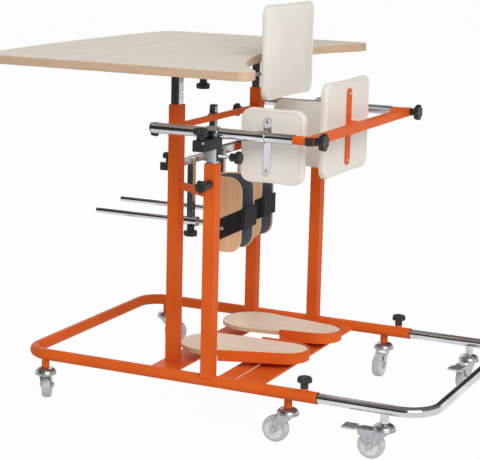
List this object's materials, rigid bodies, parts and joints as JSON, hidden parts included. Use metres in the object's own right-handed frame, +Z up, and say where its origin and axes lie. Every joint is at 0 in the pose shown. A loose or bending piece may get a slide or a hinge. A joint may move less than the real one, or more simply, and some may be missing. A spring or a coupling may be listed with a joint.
{
  "type": "standing table",
  "caption": "Rolling standing frame with a cut-out work table, foot plates, knee cups with straps, and sliding hip, chest and back pads on telescopic columns.",
  "frame": {"origin": "on the floor, below the middle of the bounding box, on the symmetry plane between the side tubes", "axes": "+Z up, +Y the way the user faces (towards the table's front edge), +X the user's right"},
  "size_m": [0.964, 1.148, 1.0176],
  "materials": {
    "orange_paint": "semi-gloss powder coat",
    "chrome": "bright plating",
    "zinc_steel": "zinc plated",
    "grey_wheel": "grey nylon with a soft tread",
    "black_plastic": "moulded, satin",
    "table_board": "pale laminated board",
    "foot_wood": "pale lacquered board",
    "bent_plywood": "lacquered bent plywood",
    "white_vinyl": "off-white upholstery vinyl",
    "black_webbing": "woven strap"
  },
  "bodies": {
    "base": {"base_frame": "orange_paint", "upright_frame": "orange_paint"},
    "extension": {"rear_extension": "chrome"},
    "fork_front_left": {"castor_fork_front_left": "chrome"},
    "fork_front_right": {"castor_fork_front_right": "chrome"},
    "fork_mid_left": {"castor_fork_mid_left": "chrome"},
    "fork_mid_right": {"castor_fork_mid_right": "chrome"},
    "fork_rear_left": {"castor_fork_rear_left": "chrome"},
    "fork_rear_right": {"castor_fork_rear_right": "chrome"},
    "wheel_front_left": {"castor_wheel_front_left": "grey_wheel"},
    "wheel_front_right": {"castor_wheel_front_right": "grey_wheel"},
    "wheel_mid_left": {"castor_wheel_mid_left": "grey_wheel"},
    "wheel_mid_right": {"castor_wheel_mid_right": "grey_wheel"},
    "wheel_rear_left": {"castor_wheel_rear_left": "grey_wheel"},
    "wheel_rear_right": {"castor_wheel_rear_right": "grey_wheel"},
    "pedal_rear_left": {"brake_pedal_rear_left": "zinc_steel"},
    "pedal_rear_right": {"brake_pedal_rear_right": "zinc_steel"},
    "table": {"table_top": "table_board", "table_frame": "chrome"},
    "chest": {"chest_slider": "chrome", "chest_pad": "white_vinyl"},
    "chest_knob": {"chest_knob": "black_plastic"},
    "table_knob_left": {"table_knob_left": "black_plastic"},
    "table_knob_right": {"table_knob_right": "black_plastic"},
    "pelvic": {"rail_post_left": "chrome", "rail_post_right": "chrome"},
    "post_knob_left": {"post_knob_left": "black_plastic"},
    "post_knob_right": {"post_knob_right": "black_plastic"},
    "rail_knob_left": {"rail_knob_left": "black_plastic"},
    "rail_knob_right": {"rail_knob_right": "black_plastic"},
    "head_knob_left": {"head_knob_left": "black_plastic"},
    "head_knob_right": {"head_knob_right": "black_plastic"},
    "rails": {"side_rail_left": "chrome", "side_rail_right": "chrome"},
    "gate": {"gate_bar": "orange_paint", "rear_pad": "white_vinyl"},
    "gate_knob_left": {"gate_knob_left": "black_plastic"},
    "gate_knob_right": {"gate_knob_right": "black_plastic"},
    "hip_left": {"hip_bracket_left": "chrome", "hip_pad_left": "white_vinyl"},
    "hip_right": {"hip_bracket_right": "chrome", "hip_pad_right": "white_vinyl"},
    "hanger": {"knee_hanger": "chrome"},
    "knee_left": {"knee_rod_left": "chrome", "knee_cup_left": "bent_plywood", "knee_strap_left": "black_webbing"},
    "knee_right": {"knee_rod_right": "chrome", "knee_cup_right": "bent_plywood", "knee_strap_right": "black_webbing"},
    "rod_knob_left": {"rod_knob_left": "black_plastic"},
    "rod_knob_right": {"rod_knob_right": "black_plastic"},
    "foot_knob_left": {"foot_knob_left": "black_plastic"},
    "foot_knob_right": {"foot_knob_right": "black_plastic"},
    "foot_left": {"heel_cup_left": "orange_paint", "foot_board_left": "foot_wood"},
    "foot_right": {"heel_cup_right": "orange_paint", "foot_board_right": "foot_wood"},
    "extension_knob_left": {"extension_knob_left": "black_plastic"},
    "extension_knob_right": {"extension_knob_right": "black_plastic"}
  },
  "joints": [
    {"name": "extension_slide", "type": "slide", "parent": "base", "child": "extension", "axis": [0, -1, 0], "range_m": [-0.05, 0.1]},
    {"name": "swivel_front_left", "type": "hinge", "parent": "base", "child": "fork_front_left", "pos_m": [-0.33, 0.458, 0.0887], "axis": [0, 0, 1], "continuous": true},
    {"name": "swivel_front_right", "type": "hinge", "parent": "base", "child": "fork_front_right", "pos_m": [0.33, 0.458, 0.0887], "axis": [0, 0, 1], "continuous": true},
    {"name": "swivel_mid_left", "type": "hinge", "parent": "base", "child": "fork_mid_left", "pos_m": [-0.33, -0.214, 0.0887], "axis": [0, 0, 1], "continuous": true},
    {"name": "swivel_mid_right", "type": "hinge", "parent": "base", "child": "fork_mid_right", "pos_m": [0.33, -0.214, 0.0887], "axis": [0, 0, 1], "continuous": true},
    {"name": "swivel_rear_left", "type": "hinge", "parent": "extension", "child": "fork_rear_left", "pos_m": [-0.33, -0.456, 0.0887], "axis": [0, 0, 1], "continuous": true},
    {"name": "swivel_rear_right", "type": "hinge", "parent": "extension", "child": "fork_rear_right", "pos_m": [0.33, -0.456, 0.0887], "axis": [0, 0, 1], "continuous": true},
    {"name": "spin_front_left", "type": "hinge", "parent": "fork_front_left", "child": "wheel_front_left", "pos_m": [-0.30281, 0.47068, 0.0325], "axis": [0.4226, -0.9063, 0], "continuous": true},
    {"name": "spin_front_right", "type": "hinge", "parent": "fork_front_right", "child": "wheel_front_right", "pos_m": [0.33, 0.428, 0.0325], "axis": [1, 0, 0], "continuous": true},
    {"name": "spin_mid_left", "type": "hinge", "parent": "fork_mid_left", "child": "wheel_mid_left", "pos_m": [-0.33, -0.184, 0.0325], "axis": [1, 0, 0], "continuous": true},
    {"name": "spin_mid_right", "type": "hinge", "parent": "fork_mid_right", "child": "wheel_mid_right", "pos_m": [0.3, -0.214, 0.0325], "axis": [0, 1, 0], "continuous": true},
    {"name": "spin_rear_left", "type": "hinge", "parent": "fork_rear_left", "child": "wheel_rear_left", "pos_m": [-0.33, -0.426, 0.0325], "axis": [1, 0, 0], "continuous": true},
    {"name": "spin_rear_right", "type": "hinge", "parent": "fork_rear_right", "child": "wheel_rear_right", "pos_m": [0.30016, -0.45286, 0.0325], "axis": [0.1045, 0.9945, 0], "continuous": true},
    {"name": "brake_rear_left", "type": "hinge", "parent": "fork_rear_left", "child": "pedal_rear_left", "pos_m": [-0.33, -0.398, 0.066], "axis": [-1, 0, 0], "range_deg": [0, 11]},
    {"name": "brake_rear_right", "type": "hinge", "parent": "fork_rear_right", "child": "pedal_rear_right", "pos_m": [0.27232, -0.44994, 0.066], "axis": [-0.1045, -0.9945, 0], "range_deg": [0, 11]},
    {"name": "table_lift", "type": "slide", "parent": "base", "child": "table", "axis": [0, 0, 1], "range_m": [0, 0.25]},
    {"name": "chest_slide", "type": "slide", "parent": "table", "child": "chest", "axis": [0, -1, 0], "range_m": [-0.015, 0.1]},
    {"name": "pelvic_lift", "type": "slide", "parent": "base", "child": "pelvic", "axis": [0, 0, 1], "range_m": [-0.005, 0.07]},
    {"name": "rail_slide", "type": "slide", "parent": "pelvic", "child": "rails", "axis": [0, -1, 0], "range_m": [-0.004, 0.06]},
    {"name": "gate_slide", "type": "slide", "parent": "rails", "child": "gate", "axis": [0, -1, 0], "range_m": [0, 0.05]},
    {"name": "hip_slide_left", "type": "slide", "parent": "rails", "child": "hip_left", "axis": [0, 1, 0], "range_m": [-0.01, 0.08]},
    {"name": "hip_slide_right", "type": "slide", "parent": "rails", "child": "hip_right", "axis": [0, -1, 0], "range_m": [0, 0.1]},
    {"name": "knee_lift", "type": "slide", "parent": "base", "child": "hanger", "axis": [0, 0, 1], "range_m": [-0.012, 0.035]},
    {"name": "knee_slide_left", "type": "slide", "parent": "hanger", "child": "knee_left", "axis": [0, -1, 0], "range_m": [-0.05, 0.08]},
    {"name": "knee_slide_right", "type": "slide", "parent": "hanger", "child": "knee_right", "axis": [0, -1, 0], "range_m": [-0.024, 0.104]},
    {"name": "foot_slide_left", "type": "slide", "parent": "base", "child": "foot_knob_left", "axis": [1, 0, 0], "range_m": [0, 0.03]},
    {"name": "foot_slide_right", "type": "slide", "parent": "base", "child": "foot_knob_right", "axis": [1, 0, 0], "range_m": [0, 0.02]},
    {"name": "foot_turn_left", "type": "hinge", "parent": "foot_knob_left", "child": "foot_left", "pos_m": [-0.125, -0.059, 0.13], "axis": [0, 0, 1], "range_deg": [-10, 1]},
    {"name": "foot_turn_right", "type": "hinge", "parent": "foot_knob_right", "child": "foot_right", "pos_m": [0.101, -0.059, 0.13], "axis": [0, 0, 1], "range_deg": [-11, 0]},
    {"name": "chest_knob_turn", "type": "hinge", "parent": "table", "child": "chest_knob", "pos_m": [0, 0.19, 0.82], "axis": [0, 0, -1], "continuous": true},
    {"name": "table_knob_turn_left", "type": "hinge", "parent": "base", "child": "table_knob_left", "pos_m": [-0.2343, 0.16, 0.707], "axis": [0, 1, 0], "continuous": true},
    {"name": "table_knob_turn_right", "type": "hinge", "parent": "base", "child": "table_knob_right", "pos_m": [0.2343, 0.16, 0.707], "axis": [0, 1, 0], "continuous": true},
    {"name": "post_knob_turn_left", "type": "hinge", "parent": "base", "child": "post_knob_left", "pos_m": [-0.35, -0.002, 0.606], "axis": [-1, 0, 0], "continuous": true},
    {"name": "post_knob_turn_right", "type": "hinge", "parent": "base", "child": "post_knob_right", "pos_m": [0.35, -0.002, 0.606], "axis": [1, 0, 0], "continuous": true},
    {"name": "rail_knob_turn_left", "type": "hinge", "parent": "pelvic", "child": "rail_knob_left", "pos_m": [-0.372, 0.01, 0.7125], "axis": [0, 0, 1], "continuous": true},
    {"name": "rail_knob_turn_right", "type": "hinge", "parent": "pelvic", "child": "rail_knob_right", "pos_m": [0.372, 0.01, 0.7125], "axis": [0, 0, 1], "continuous": true},
    {"name": "head_knob_turn_left", "type": "hinge", "parent": "pelvic", "child": "head_knob_left", "pos_m": [-0.33, -0.03, 0.672], "axis": [0, -1, 0], "continuous": true},
    {"name": "head_knob_turn_right", "type": "hinge", "parent": "pelvic", "child": "head_knob_right", "pos_m": [0.33, -0.03, 0.672], "axis": [0, -1, 0], "continuous": true},
    {"name": "gate_knob_turn_left", "type": "hinge", "parent": "gate", "child": "gate_knob_left", "pos_m": [-0.33, -0.27, 0.726], "axis": [0, -1, 0], "continuous": true},
    {"name": "gate_knob_turn_right", "type": "hinge", "parent": "gate", "child": "gate_knob_right", "pos_m": [0.33, -0.27, 0.726], "axis": [0, -1, 0], "continuous": true},
    {"name": "rod_knob_turn_left", "type": "hinge", "parent": "hanger", "child": "rod_knob_left", "pos_m": [-0.1188, 0.1588, 0.44], "axis": [0, 0, -1], "continuous": true},
    {"name": "rod_knob_turn_right", "type": "hinge", "parent": "hanger", "child": "rod_knob_right", "pos_m": [0.057, 0.1588, 0.44], "axis": [0, 0, -1], "continuous": true},
    {"name": "extension_knob_turn_left", "type": "hinge", "parent": "base", "child": "extension_knob_left", "pos_m": [-0.33, -0.254, 0.15], "axis": [0, 0, 1], "continuous": true},
    {"name": "extension_knob_turn_right", "type": "hinge", "parent": "base", "child": "extension_knob_right", "pos_m": [0.33, -0.254, 0.15], "axis": [0, 0, 1], "continuous": true}
  ]
}
